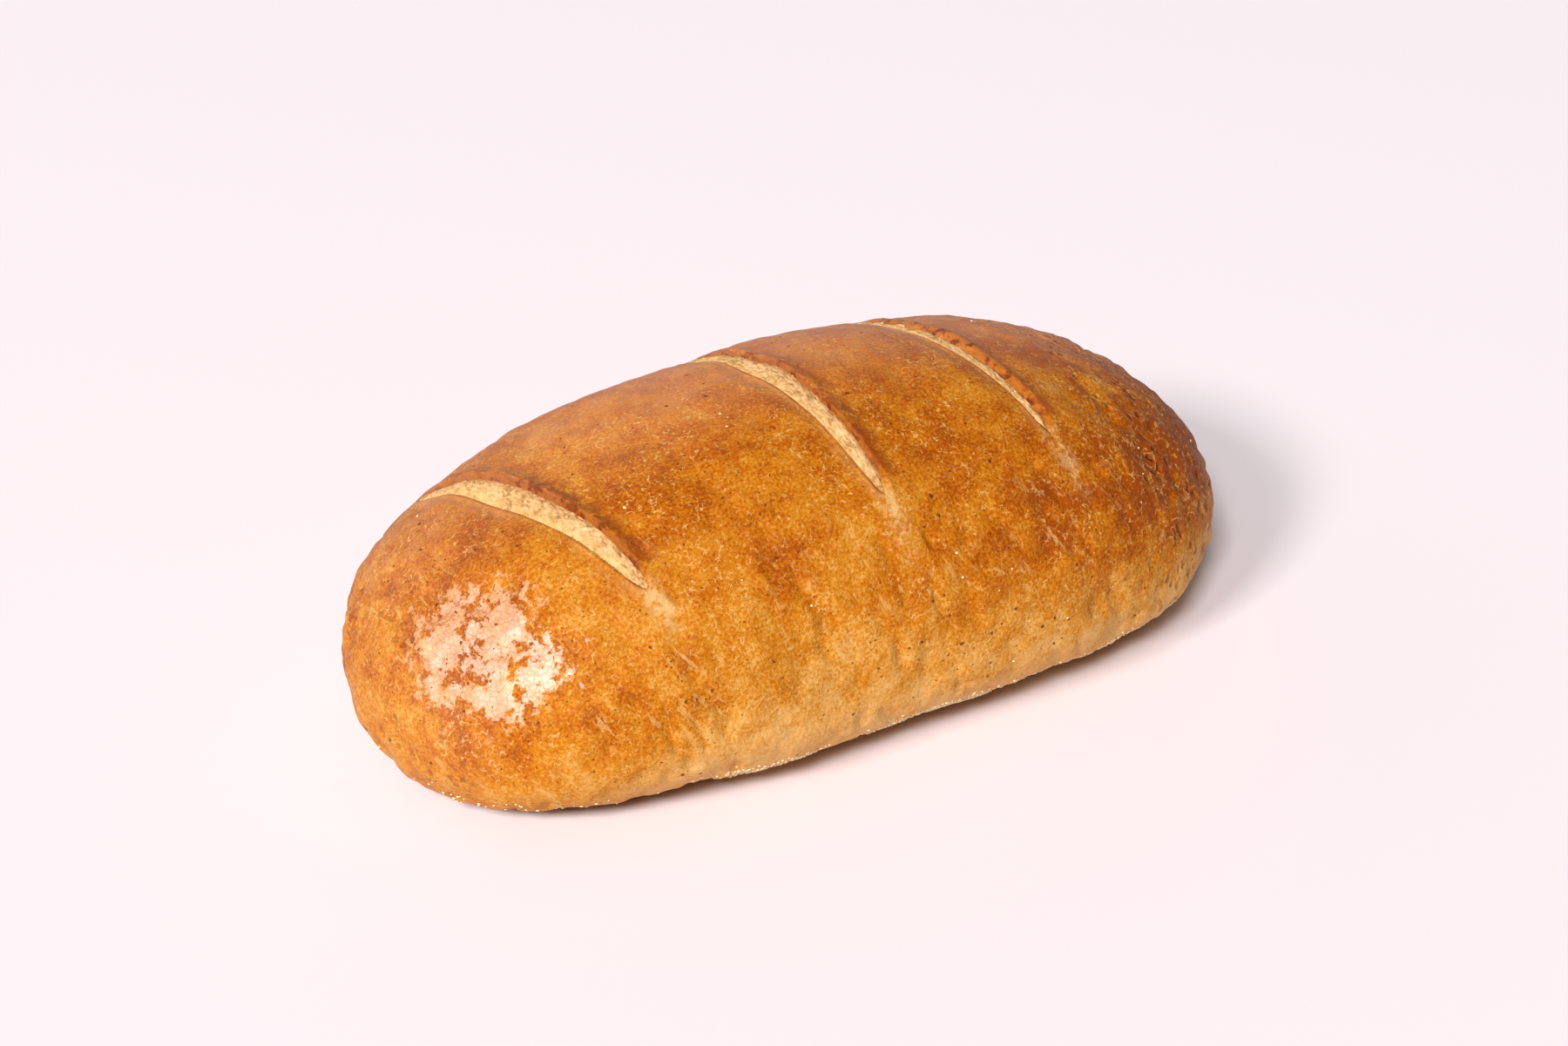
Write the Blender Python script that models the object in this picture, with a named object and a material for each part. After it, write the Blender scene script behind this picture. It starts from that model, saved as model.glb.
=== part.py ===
"""Oval loaf of bread, baked free on a flat sheet, with three slashes across its top.

Metres, +Z up. The loaf lies along X, its flat base is on Z = 0 and the origin is at the
middle of the base. The end at -X is blunt and low, the crest is highest past the middle,
and from there the loaf slopes down to the end at +X.
"""
import math
import random

import bmesh
import bpy
from mathutils import Matrix, Vector, noise

# Overall size of the plain loaf
LENGTH = 0.280
WIDTH = 0.1425
HEIGHT = 0.0945
WAIST_HEIGHT = 0.0276

# How fast the loaf fills out from its ends: a higher power gives a blunter end
WIDTH_POWER_LEFT = 4.0
WIDTH_POWER_RIGHT = 3.65
CREST_POWER_LEFT = 2.66
CREST_POWER_RIGHT = 1.54
BASE_POWER = 9.9
CREST_RISE = 0.136
WIDTH_RISE = 0.02

# Roundness of a cross-section above and below its widest level
TOP_SECTION_POWER = 2.15
BOTTOM_SECTION_POWER = 2.2
BELLY_DEPTH = 0.0317
BASE_ROUNDING = 0.0022

# Slashes: each runs from its back end to its front tip, both as (x, y)
SLASHES = (
    {"back": (-0.0999, 0.044), "front": (-0.0735, -0.047), "half_width": 0.0043,
     "depth": 0.0021, "lip": 0.0010, "lip_width": 0.0034},
    {"back": (-0.0090, 0.046), "front": (0.0008, -0.0485), "half_width": 0.0044,
     "depth": 0.0018, "lip": 0.0008, "lip_width": 0.0036},
    {"back": (0.0474, 0.044), "front": (0.0625, -0.042), "half_width": 0.0034,
     "depth": 0.0018, "lip": 0.0014, "lip_width": 0.0044},
)
SHOULDER = 0.011
LIP_EDGE = 0.0009
LIP_RAGGEDNESS = 0.55
LIP_RAG_SIZE = 0.010

# Rings of points across the loaf: close together at the slashes, wider between them
RING_OFFSETS = (-0.0155, -0.0110, -0.0078, -0.0058, -0.0043, -0.0022, 0.0,
                0.0022, 0.0043, 0.0052, 0.0064, 0.0084, 0.0118)
RING_SPACING = 0.0062
END_STEP = math.radians(3.4)
POINTS_AROUND = 64
TOP_CROWDING = 0.38
RING_PINCH = 0.5

# Unevenness of the baked dough
SWELL_SIZE = 0.046
SWELL_HEIGHT = 0.0015
RIPPLE_SIZE = 0.016
RIPPLE_HEIGHT = 0.0008
BASE_KEEP_CLEAR = 0.012
DENT_SEED = 14
DENT_COUNT_FRONT = 26
DENT_COUNT_END = 30
DENT_COUNT_BACK = 22
DENT_RADIUS = (0.0055, 0.0090)
DENT_DEPTH = (0.0006, 0.0014)

CRUST_COLOUR = (0.480, 0.185, 0.035, 1.0)
CRUST_ROUGHNESS = 0.38


def clear_scene():
    for old in list(bpy.data.objects):
        bpy.data.objects.remove(old, do_unlink=True)


def smooth_step(value, low, high):
    t = min(1.0, max(0.0, (value - low) / (high - low)))
    return t * t * (3.0 - 2.0 * t)


def signed_power(value, power):
    return math.copysign(abs(value) ** power, value)


def fullness(u, power_left, power_right):
    """Share of the full size left at u, which runs from -1 to 1 along the loaf."""
    power = power_left if u < 0.0 else power_right
    return math.sqrt(max(0.0, 1.0 - min(1.0, abs(u)) ** power))


def half_width(u):
    return 0.5 * WIDTH * fullness(u, WIDTH_POWER_LEFT, WIDTH_POWER_RIGHT) * (1.0 + WIDTH_RISE * u)


def crown_height(u):
    """Height of the crest above the widest level."""
    crown = HEIGHT - WAIST_HEIGHT
    return crown * fullness(u, CREST_POWER_LEFT, CREST_POWER_RIGHT) * (1.0 + CREST_RISE * u)


def belly_depth(u):
    """Depth of the rounded underside below the widest level, before the base is flat."""
    return BELLY_DEPTH * fullness(u, BASE_POWER, BASE_POWER)


def flatten_at_base(z):
    """Keep a height above the base, and turn all below it into the flat base."""
    if z <= -BASE_ROUNDING:
        return 0.0
    if z >= BASE_ROUNDING:
        return z
    return (z + BASE_ROUNDING) ** 2 / (4.0 * BASE_ROUNDING)


def slash_slope(slash):
    """Sideways run of a slash for each metre across the loaf."""
    (x_back, y_back), (x_front, y_front) = slash["back"], slash["front"]
    return (x_back - x_front) / (y_back - y_front)


def slash_middle(slash):
    """Where the line of a slash crosses the middle of the loaf."""
    x_front, y_front = slash["front"]
    return x_front - slash_slope(slash) * y_front


def slash_reach(slash, y):
    """Place along a slash: 0 at its back end, 1 at its front tip."""
    y_back, y_front = slash["back"][1], slash["front"][1]
    return (y_back - y) / (y_back - y_front)


def slash_opening(reach):
    """Share of the full opening: a slash is widest past its middle and closes to both ends."""
    if reach <= 0.0 or reach >= 1.0:
        return 0.0
    return min(1.0, 1.25 * (1.0 - reach) ** 0.45 * reach ** 0.28)


def ring_pinch(slash, y, offset):
    """How far a ring beside a slash draws in with it towards its tips."""
    opening = slash_opening(slash_reach(slash, y))
    fade = 1.0 - smooth_step(abs(offset), 0.0064, 0.0150)
    return 1.0 - RING_PINCH * (1.0 - opening) * fade


def ring_stations():
    """Every ring from the left tip to the right one, as (x, slash or None, offset)."""
    first = slash_middle(SLASHES[0]) + RING_OFFSETS[0]
    last = slash_middle(SLASHES[-1]) + RING_OFFSETS[-1]
    stations = end_stations(-first, -1.0)[::-1]
    for index, slash in enumerate(SLASHES):
        middle = slash_middle(slash)
        stations += [(middle + offset, slash, offset) for offset in RING_OFFSETS]
        if slash is not SLASHES[-1]:
            start = middle + RING_OFFSETS[-1]
            stop = slash_middle(SLASHES[index + 1]) + RING_OFFSETS[0]
            stations += between_stations(start, stop)
    stations += end_stations(last, 1.0)
    return stations


def end_stations(start, side):
    """Rings from a slash out to the tip of an end, evenly spaced round the curve."""
    angle = math.asin(start / (0.5 * LENGTH))
    count = round((0.5 * math.pi - angle) / END_STEP)
    step = (0.5 * math.pi - angle) / count
    return [(side * 0.5 * LENGTH * math.sin(angle + step * k), None, 0.0) for k in range(1, count + 1)]


def between_stations(start, stop):
    count = round((stop - start) / RING_SPACING)
    step = (stop - start) / count
    return [(start + step * k, None, 0.0) for k in range(1, count)]


def lean(x):
    """Lean of a ring at x, so that the rings run along the slashes and square at the ends."""
    knots = [(-0.5 * LENGTH, 0.0)]
    knots += [(slash_middle(slash), slash_slope(slash)) for slash in SLASHES]
    knots += [(0.5 * LENGTH, 0.0)]
    for (x0, lean0), (x1, lean1) in zip(knots, knots[1:]):
        if x0 <= x <= x1:
            return lean0 + (lean1 - lean0) * (x - x0) / (x1 - x0)
    return 0.0


def loaf_point(station, angle):
    """Point of the plain loaf on a ring, at an angle from +Y up through +Z."""
    x_ring, slash, offset = station
    c, s = math.cos(angle), math.sin(angle)
    power = 2.0 / (TOP_SECTION_POWER if s >= 0.0 else BOTTOM_SECTION_POWER)
    x = x_ring
    for _ in range(4):
        u = x / (0.5 * LENGTH)
        y = half_width(u) * signed_power(c, power)
        x = x_ring + lean(x_ring) * y
        if slash and s > 0.0:
            x += offset * (ring_pinch(slash, y, offset) - 1.0) * smooth_step(s, 0.0, 0.5)
    u = x / (0.5 * LENGTH)
    rise = crown_height(u) if s >= 0.0 else belly_depth(u)
    z = WAIST_HEIGHT + rise * signed_power(s, power)
    return Vector((x, y, flatten_at_base(z)))


def lip_height(slash, y):
    """Height of the torn lip, which is ragged along the slash."""
    rag = noise.noise(Vector((slash_middle(slash) / LIP_RAG_SIZE, y / LIP_RAG_SIZE, 0.0)))
    return slash["lip"] * (1.0 + LIP_RAGGEDNESS * rag)


def slash_relief(point):
    """Height of the crust beside and in the slashes, above the plain loaf."""
    height = 0.0
    if point.z < WAIST_HEIGHT:
        return height
    for slash in SLASHES:
        slope = slash_slope(slash)
        aside = (point.x - slash_middle(slash) - slope * point.y) / math.hypot(1.0, slope)
        opening = slash_opening(slash_reach(slash, point.y))
        if opening == 0.0 or abs(aside) > 0.03:
            continue
        edge = slash["half_width"] * opening
        sunk = slash["depth"] * opening ** 0.5
        if aside < edge:
            height -= sunk * smooth_step(aside, -edge - SHOULDER * opening, -edge * 0.6)
            height += 0.3 * sunk * smooth_step(aside, -edge, edge)
        else:
            climb = smooth_step(aside, edge, edge + LIP_EDGE)
            fall = 1.0 - smooth_step(aside, edge + LIP_EDGE, edge + LIP_EDGE + slash["lip_width"])
            height += -0.7 * sunk * (1.0 - climb) + lip_height(slash, point.y) * opening * climb * fall
    return height


def unevenness(point):
    """Gentle swells and ripples of the dough."""
    swell = noise.noise(point / SWELL_SIZE + Vector((3.1, 7.7, 1.9)))
    ripple = noise.noise(point / RIPPLE_SIZE + Vector((9.4, 2.6, 5.3)))
    return SWELL_HEIGHT * swell + RIPPLE_HEIGHT * ripple


def scatter_dents(points):
    """Shallow dents: on the front side, on the darker right end and on the back."""
    dice = random.Random(DENT_SEED)
    front = [p for p in points if p.y < -0.030 and 0.014 < p.z < 0.062 and abs(p.x) < 0.105]
    end = [p for p in points if 0.088 < p.x < 0.130 and p.z > 0.020]
    back = [p for p in points if p.y > 0.050 and 0.014 < p.z < 0.070]
    dents = []
    for patch, count in ((front, DENT_COUNT_FRONT), (end, DENT_COUNT_END), (back, DENT_COUNT_BACK)):
        for centre in dice.sample(patch, count):
            dents.append((centre, dice.uniform(*DENT_RADIUS), dice.uniform(*DENT_DEPTH)))
    return dents


def dent_relief(point, dents):
    height = 0.0
    for centre, radius, depth in dents:
        away = (point - centre).length
        if away < radius:
            height -= depth * (1.0 - smooth_step(away, 0.0, radius))
    return height


def shape_loaf(mesh):
    """Turn a round ball of rings and points into the loaf."""
    stations = ring_stations()
    crest = math.radians(90.0)
    for vert in mesh.verts:
        ring = round(math.acos(max(-1.0, min(1.0, vert.co.z))) / math.pi * (len(stations) - 1))
        turn = math.atan2(vert.co.y, vert.co.x)
        angle = turn + TOP_CROWDING * math.sin(crest - turn)
        vert.co = loaf_point(stations[ring], angle)
    bmesh.ops.recalc_face_normals(mesh, faces=mesh.faces)
    mesh.normal_update()
    dents = scatter_dents([vert.co.copy() for vert in mesh.verts])
    moves = []
    for vert in mesh.verts:
        uneven = unevenness(vert.co) + dent_relief(vert.co, dents)
        rise = uneven * smooth_step(vert.co.z, 0.001, BASE_KEEP_CLEAR) + slash_relief(vert.co)
        moves.append(vert.normal * rise)
    for vert, move in zip(mesh.verts, moves):
        vert.co += move
        vert.co.z = max(0.0, vert.co.z)


def centre_on_base(mesh):
    """Put the middle of the loaf's outline on the Z axis."""
    xs = [vert.co.x for vert in mesh.verts]
    ys = [vert.co.y for vert in mesh.verts]
    shift = Vector((-0.5 * (min(xs) + max(xs)), -0.5 * (min(ys) + max(ys)), 0.0))
    bmesh.ops.translate(mesh, verts=mesh.verts, vec=shift)


def crust_material():
    material = bpy.data.materials.new("baked_crust")
    material.use_nodes = True
    shader = material.node_tree.nodes["Principled BSDF"]
    shader.inputs["Base Color"].default_value = CRUST_COLOUR
    shader.inputs["Roughness"].default_value = CRUST_ROUGHNESS
    shader.inputs["Metallic"].default_value = 0.0
    return material


def build_loaf(collection):
    bands = len(ring_stations()) - 1
    shape = bmesh.new()
    bmesh.ops.create_uvsphere(shape, u_segments=POINTS_AROUND, v_segments=bands, radius=1.0,
                              matrix=Matrix.Identity(4))
    shape_loaf(shape)
    centre_on_base(shape)
    bmesh.ops.triangulate(shape, faces=shape.faces, quad_method="SHORT_EDGE")
    bmesh.ops.recalc_face_normals(shape, faces=shape.faces)
    mesh = bpy.data.meshes.new("loaf")
    shape.to_mesh(mesh)
    shape.free()
    mesh.shade_smooth()
    mesh.materials.append(crust_material())
    loaf = bpy.data.objects.new("loaf", mesh)
    collection.objects.link(loaf)
    return loaf


def main():
    clear_scene()
    collection = bpy.data.collections.new("oval_loaf")
    bpy.context.scene.collection.children.link(collection)
    build_loaf(collection)


main()
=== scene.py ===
"""Looks of the oval loaf: a glossy mottled crust, three torn slashes that show the crumb, and
semolina on its base edge. Metres, +Z up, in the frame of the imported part.
"""
import math

import bpy
import numpy as np
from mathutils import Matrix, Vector
from mathutils.bvhtree import BVHTree


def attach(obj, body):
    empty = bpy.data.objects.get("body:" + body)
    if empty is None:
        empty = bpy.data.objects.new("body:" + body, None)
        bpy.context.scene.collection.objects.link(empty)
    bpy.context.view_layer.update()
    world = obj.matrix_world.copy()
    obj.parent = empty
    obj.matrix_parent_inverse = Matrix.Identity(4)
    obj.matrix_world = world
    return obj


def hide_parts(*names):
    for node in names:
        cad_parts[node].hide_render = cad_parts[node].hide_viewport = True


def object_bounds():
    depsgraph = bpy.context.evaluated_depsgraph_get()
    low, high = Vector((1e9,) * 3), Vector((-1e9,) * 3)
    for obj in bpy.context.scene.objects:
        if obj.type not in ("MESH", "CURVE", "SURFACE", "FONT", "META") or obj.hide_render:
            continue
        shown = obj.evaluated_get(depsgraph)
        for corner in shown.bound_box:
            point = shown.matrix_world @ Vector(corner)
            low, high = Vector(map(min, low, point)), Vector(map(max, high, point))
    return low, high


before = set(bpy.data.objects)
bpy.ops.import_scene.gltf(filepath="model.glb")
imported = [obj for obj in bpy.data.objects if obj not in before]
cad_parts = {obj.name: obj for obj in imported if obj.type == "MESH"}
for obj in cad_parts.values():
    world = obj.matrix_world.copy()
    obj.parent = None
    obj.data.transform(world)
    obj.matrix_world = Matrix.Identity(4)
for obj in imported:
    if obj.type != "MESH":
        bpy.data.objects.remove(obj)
cad_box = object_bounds()
LOAF_HEIGHT = cad_box[1][2]

# Slashes, each from its back end to its front tip as (x, y). Shift moves the bed towards the left.
SLASHES = (
    {"name": "left", "back": (-0.0998, 0.0441), "front": (-0.0734, -0.0469),
     "half_width": 0.0044, "shift": 0.0},
    {"name": "middle", "back": (-0.0089, 0.0461), "front": (0.0009, -0.0484),
     "half_width": 0.0043, "shift": 0.0},
    {"name": "right", "back": (0.0475, 0.0441), "front": (0.0626, -0.0419),
     "half_width": 0.0027, "shift": 0.0008},
)
FAR_FROM_SLASH = 0.05

# Heights and depths of the relief, and the grains of semolina (densities per square metre)
CRUST_SIZES = {"lump_height": 0.0018, "wrinkle_height": 0.0021, "dent_depth": 0.0015,
               "pebble_height": 0.0012, "lip_overhang": 0.0014, "near_lip": 0.00035,
               "flat_depth": 0.0026}
CRUMB_SIZES = {"lump_height": 0.00080, "pore_depth": 0.00060}
SEMOLINA_SIZES = {"grain_size": 0.00064, "edge_density": 1100000.0, "crust_density": 450.0}

# Middle of the shallow dent at the left end, where the egg wash dried thick and shines, and round which a
# painted highlight lightens the crust's colour
FLAT_PLACE = (-0.1180, -0.0320, 0.0530)

# Beds of crumb: points across and along, reach under the crust, bulge, and how their sides tuck in
BED_POINTS = (36, 300)
BED_MARGIN = 0.0008
BED_BULGE = 0.0006
BED_EDGE_DROP = 0.0012
BED_TUCK_START = 0.70
BED_TUCK_DEPTH = 0.0010
BED_CLEARANCE = 0.0004
CRUST_SINK = 0.0016

# Camera of the photograph
CAMERA_AIM = (0.0076, 0.0183, 0.0322)
CAMERA_TURN = -30.5
CAMERA_RISE = 31.3
CAMERA_DISTANCE = 0.9257
CAMERA_LENS = 70.0
CAMERA_SENSOR = 36.0

# Lights, each with its turn from -Y and its rise in degrees, as seen from the loaf
SOFTBOXES = (
    {"name": "softbox_left", "turn": -69.0, "rise": 34.0, "power": 4000.0},
    {"name": "softbox_front", "turn": -44.0, "rise": 42.5, "power": 4820.0},
)
SOFTBOX_SIZE = (5.3, 4.3)
SOFTBOX_DISTANCE = 24.0
SOFTBOX_AIM = (0.0, 0.0, 0.04)
ROOM_LIGHT = 0.04
ROOM_COLOUR = (1.0, 0.985, 0.98)
FLOOR_SIZE = 12.0
FLOOR_COLOUR = (0.850, 0.767, 0.794)

# Colours of the crust, from hardly to fully baked, and of what lies on it
CRUST_BAKES = (
    (0.00, (0.715, 0.390, 0.128)),
    (0.25, (0.640, 0.297, 0.058)),
    (0.50, (0.540, 0.192, 0.009)),
    (0.75, (0.448, 0.118, 0.001)),
    (1.00, (0.300, 0.056, 0.001)),
)
# Lighter, pinker top towards the back: partly the crust's colour, partly painted sheen
TOP_TINT_AND_SHEEN = (0.720, 0.250, 0.095)
BASE_DARK = (0.220, 0.080, 0.018)
BASE_LIGHT = (0.440, 0.210, 0.070)
PALE_CRACK = (0.800, 0.480, 0.170)
PALE_STREAK = (0.760, 0.430, 0.130)
# Pale peach of the thick wash: partly the dried glaze, partly a painted highlight
DRIED_WASH_AND_HIGHLIGHT = (0.850, 0.400, 0.093)
BRAN = (0.092, 0.024, 0.006)
# Painted shade inside the small pits round the rims
RIM_PIT_SHADE = (0.230, 0.052, 0.004)
STRETCHED_SKIN = (0.688, 0.448, 0.192)
ROLLED_SKIN = (0.620, 0.285, 0.085)
# Dark line along the near tear: partly caramelised, partly painted shade
TEAR_LINE_AND_SHADE = (0.300, 0.080, 0.010)
SCORCHED = (0.250, 0.044, 0.004)
LIP_LEFT = (0.350, 0.098, 0.012)
LIP_RIGHT = (0.450, 0.128, 0.011)
LIP_BURNT = (0.170, 0.028, 0.003)
UNDER_CRUMB = (0.560, 0.320, 0.110)

# Colours of the crumb and of the semolina
CRUMB_TONES = (
    (0.10, (0.330, 0.175, 0.052)),
    (0.42, (0.600, 0.322, 0.120)),
    (0.80, (0.805, 0.485, 0.222)),
)
CRUMB_TAN = (0.560, 0.270, 0.075)
CRUMB_SKIN = (0.770, 0.420, 0.120)
CRUMB_TOASTED = (0.470, 0.185, 0.034)
# Painted shadow for the dark gaps under the far lip
CRUMB_LIP_SHADOW = (0.230, 0.098, 0.028)
# Painted shade inside the crumb's pores
CRUMB_PORE_SHADE = (0.410, 0.190, 0.066)
CRUMB_SPECK = (0.370, 0.165, 0.055)
SEMOLINA_DARK = (0.800, 0.560, 0.250)
SEMOLINA_PALE = (0.930, 0.830, 0.560)


def deselect_all():
    if bpy.context.mode != "OBJECT":
        bpy.ops.object.mode_set(mode="OBJECT")
    bpy.ops.object.select_all(action="DESELECT")


def activate(piece):
    deselect_all()
    piece.select_set(True)
    bpy.context.view_layer.objects.active = piece


def apply_modifiers(piece):
    activate(piece)
    for modifier in list(piece.modifiers):
        bpy.ops.object.modifier_apply(modifier=modifier.name)


def smooth_step(value, low, high):
    t = np.clip((value - low) / (high - low), 0.0, 1.0)
    return t * t * (3.0 - 2.0 * t)


# Places along and across the slashes

def slash_slope(slash):
    (x_back, y_back), (x_front, y_front) = slash["back"], slash["front"]
    return (x_back - x_front) / (y_back - y_front)


def slash_aside(slash, x, y):
    """Distance from the line of a slash, more than zero towards the right end."""
    slope = slash_slope(slash)
    x_front, y_front = slash["front"]
    return (x - x_front - slope * (y - y_front)) / math.hypot(1.0, slope) + slash["shift"]


def slash_reach(slash, y):
    """Place along a slash: 0 at its back end, 1 at its front tip."""
    y_back, y_front = slash["back"][1], slash["front"][1]
    return (y_back - y) / (y_back - y_front)


def slash_opening(reach):
    """Share of the full opening: it widens slowly from the back and ends in a blunt front tip."""
    inside = np.clip(reach, 0.0, 1.0)
    return np.minimum(1.0, 1.2 * (1.0 - inside) ** 0.35) * np.minimum(1.0, inside / 0.40) ** 0.45


# Mesh helpers

def read_on_points(piece, field):
    values = np.empty(len(piece.data.vertices) * 3)
    piece.data.vertices.foreach_get(field, values)
    return values.reshape(-1, 3)


def mesh_points(piece):
    return read_on_points(piece, "co")


def mesh_normals(piece):
    return read_on_points(piece, "normal")


def set_mesh_points(piece, points):
    piece.data.vertices.foreach_set("co", points.ravel())
    piece.data.update()


def store_on_points(piece, name, values):
    layer = piece.data.attributes.new(name, "FLOAT", "POINT")
    layer.data.foreach_set("value", np.asarray(values, dtype=np.float32))


class Nodes:
    """Adds nodes to a tree. Inputs are given by name, or by number as i0, i1 and so on."""

    def __init__(self, tree):
        self.tree = tree

    def add(self, kind, settings=None, **inputs):
        node = self.tree.nodes.new(kind)
        for key, value in (settings or {}).items():
            setattr(node, key, value)
        for key, value in inputs.items():
            numbered = key[0] == "i" and key[1:].isdigit()
            self.feed(node.inputs[int(key[1:]) if numbered else key], value)
        return node

    def feed(self, socket, value):
        if isinstance(value, bpy.types.NodeSocket):
            self.tree.links.new(value, socket)
        else:
            socket.default_value = value

    def maths(self, operation, a, b=0.0, c=0.0):
        return self.add("ShaderNodeMath", {"operation": operation}, i0=a, i1=b, i2=c).outputs[0]

    def total(self, *values):
        result = values[0]
        for value in values[1:]:
            result = self.maths("ADD", result, value)
        return result

    def product(self, *values):
        result = values[0]
        for value in values[1:]:
            result = self.maths("MULTIPLY", result, value)
        return result

    def step(self, value, low, high, at_low=0.0, at_high=1.0):
        """A smooth change from at_low to at_high, as value goes from low to high."""
        if low > high:
            low, high, at_low, at_high = high, low, at_high, at_low
        node = self.add("ShaderNodeMapRange", {"interpolation_type": "SMOOTHSTEP"}, Value=value)
        for name, setting in (("From Min", low), ("From Max", high), ("To Min", at_low), ("To Max", at_high)):
            node.inputs[name].default_value = setting
        return node.outputs["Result"]

    def without(self, mask, share=1.0):
        """What a mask leaves over, when it takes away the given share at most."""
        return self.maths("SUBTRACT", 1.0, self.product(mask, share))

    def stretched(self, vector, size):
        return self.add("ShaderNodeVectorMath", {"operation": "DIVIDE"}, i0=vector, i1=size).outputs[0]

    def leaning(self, x, y, z, lean):
        """The place, its x shifted with the height so that what is drawn on it leans."""
        shifted = self.maths("MULTIPLY_ADD", z, lean, x)
        return self.add("ShaderNodeCombineXYZ", i0=shifted, i1=y, i2=z).outputs[0]

    def distance(self, vector, place):
        node = self.add("ShaderNodeVectorMath", {"operation": "DISTANCE"}, i0=vector, i1=place)
        return node.outputs["Value"]

    def stored(self, name):
        """A value kept on the points of the mesh, for geometry nodes."""
        return self.add("GeometryNodeInputNamedAttribute", {"data_type": "FLOAT"}, Name=name).outputs[0]

    def painted(self, name):
        """A value kept on the points of the mesh, for a shader."""
        return self.add("ShaderNodeAttribute", {"attribute_name": name}).outputs["Fac"]

    def cells(self, vector, size, feature, **inputs):
        """Distance within cells about size metres across: from their middles, or from their edges."""
        node = self.add("ShaderNodeTexVoronoi", {"feature": feature}, Vector=vector, Scale=1.0 / size, **inputs)
        return node.outputs["Distance"]

    def noise(self, vector, size=1.0, detail=2.0, roughness=0.5, distortion=0.0):
        """Smooth noise about zero, its features about size metres across."""
        node = self.add("ShaderNodeTexNoise", None, Vector=vector, Scale=1.0 / size, Detail=detail,
                        Roughness=roughness, Distortion=distortion)
        return self.maths("SUBTRACT", node.outputs[0], 0.5)

    def blend(self, factor, a, b):
        """Colour a, turning into colour b as factor goes from 0 to 1."""
        mix = self.add("ShaderNodeMix", {"data_type": "RGBA"})
        self.feed(mix.inputs[0], factor)
        for socket, colour in ((mix.inputs[6], a), (mix.inputs[7], b)):
            self.feed(socket, colour if isinstance(colour, bpy.types.NodeSocket) else (*colour, 1.0))
        return mix.outputs[2]

    def ramp(self, value, stops):
        node = self.add("ShaderNodeValToRGB", None, i0=value)
        elements = node.color_ramp.elements
        while len(elements) < len(stops):
            elements.new(0.5)
        for element, (position, colour) in zip(elements, stops):
            element.position = position
            element.color = (*colour, 1.0)
        return node.outputs[0]


def new_group(name, kind, inputs, outputs):
    """A node group with named inputs and outputs, as (name, type) pairs."""
    tree = bpy.data.node_groups.new(name, kind)
    for label, socket in inputs:
        tree.interface.new_socket(label, in_out="INPUT", socket_type="NodeSocket" + socket)
    for label, socket in outputs:
        tree.interface.new_socket(label, in_out="OUTPUT", socket_type="NodeSocket" + socket)
    return tree


def shape_with(piece, group, **sizes):
    """Run a geometry node group on the piece with its inputs set, and apply it."""
    modifier = piece.modifiers.new(group.name, "NODES")
    modifier.node_group = group
    for item in group.interface.items_tree:
        name = item.name.replace(" ", "_").lower()
        if name in sizes and item.in_out == "INPUT":
            modifier[item.identifier] = sizes[name]
    apply_modifiers(piece)


# Crust

def copy_of_node(node, name):
    """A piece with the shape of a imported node, its loose triangles merged into quads."""
    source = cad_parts[node]
    piece = bpy.data.objects.new(name, source.data.copy())
    bpy.context.scene.collection.objects.link(piece)
    activate(piece)
    piece.data.materials.clear()
    bpy.ops.object.mode_set(mode="EDIT")
    bpy.ops.mesh.select_all(action="SELECT")
    bpy.ops.mesh.remove_doubles(threshold=0.00001)
    bpy.ops.mesh.tris_convert_to_quads(face_threshold=math.radians(50), shape_threshold=math.radians(60))
    bpy.ops.object.mode_set(mode="OBJECT")
    return piece


def mark_slashes(piece):
    """Store how deep inside a slash a point lies, how far past its torn edge, and past its tip."""
    x, y, z = mesh_points(piece).T
    gap = np.full(len(x), -FAR_FROM_SLASH)
    past = np.full(len(x), FAR_FROM_SLASH)
    ahead = np.full(len(x), -FAR_FROM_SLASH)
    for slash in SLASHES:
        aside = slash_aside(slash, x, y)
        reach = slash_reach(slash, y)
        edge = slash["half_width"] * slash_opening(reach)
        length = slash["back"][1] - slash["front"][1]
        beyond = np.maximum(0.0, np.abs(reach - 0.5) - 0.5) * length
        inside = edge - np.hypot(aside, beyond)
        inside[z < 0.4 * LOAF_HEIGHT] = -FAR_FROM_SLASH
        near = inside > gap
        gap[near] = inside[near]
        past[near] = (aside - edge)[near]
        ahead[near] = ((reach - 1.0) * length)[near]
    store_on_points(piece, "gap", gap)
    store_on_points(piece, "past", past)
    store_on_points(piece, "ahead", ahead)


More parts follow.
